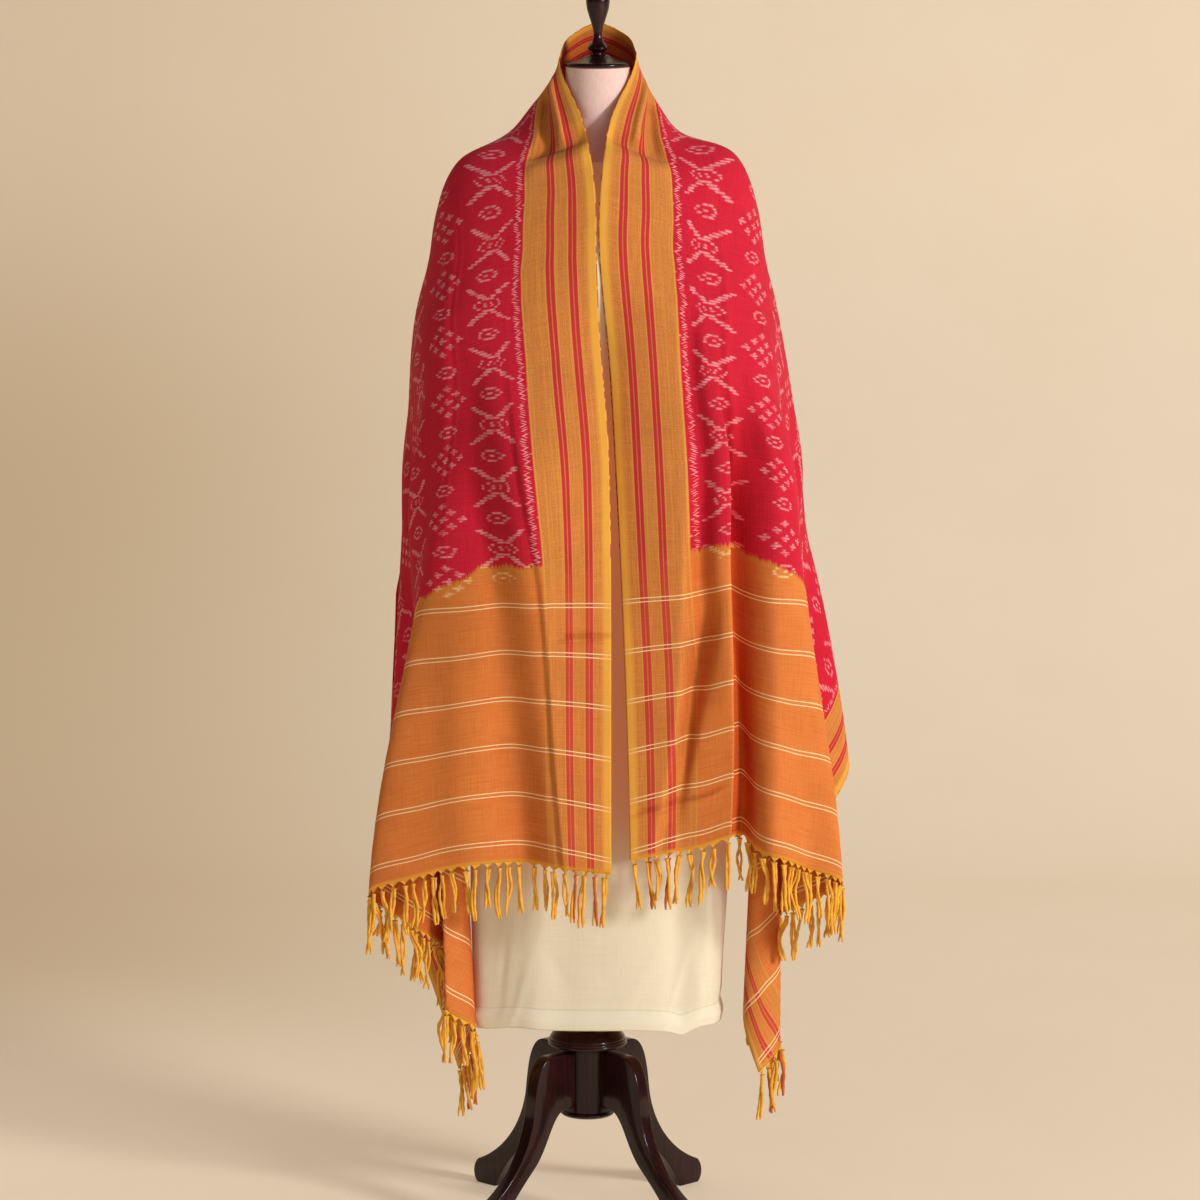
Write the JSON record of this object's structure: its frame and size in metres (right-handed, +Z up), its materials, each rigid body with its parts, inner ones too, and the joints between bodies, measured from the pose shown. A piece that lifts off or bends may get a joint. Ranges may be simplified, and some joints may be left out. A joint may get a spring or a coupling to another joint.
{
  "type": "patola dupatta draped on a dress form with stand",
  "caption": "Long ikat woven cotton and silk scarf with end panels and knotted fringes, draped shawl-wise over a dress form that stands on a turned column with splayed legs.",
  "frame": {"origin": "on the floor, under the middle of the whole object's box", "axes": "+Z up; the front of the form faces -Y; +X is to the right of someone looking at its front"},
  "size_m": [0.6862, 0.3732, 1.7623],
  "materials": {
    "patola_cloth": "soft woven cotton and silk, tie-dyed before weaving, crimson with golden borders and orange end panels",
    "fringe_yarn": "loose twisted warp yarn, golden, knotted along the end of the cloth",
    "jersey": "stretched matt jersey",
    "slip_cloth": "plain undyed cotton",
    "mahogany": "dark polished varnish"
  },
  "bodies": {
    "root": {"dupatta": "patola_cloth", "fringe_left": "fringe_yarn", "fringe_right": "fringe_yarn", "torso": "jersey", "slip": "slip_cloth", "neck_cap": "mahogany", "finial": "mahogany", "post": "mahogany", "bell_collar": "mahogany", "column": "mahogany", "base_disc": "mahogany", "leg_1": "mahogany", "leg_2": "mahogany", "leg_3": "mahogany", "leg_4": "mahogany"}
  },
  "joints": []
}
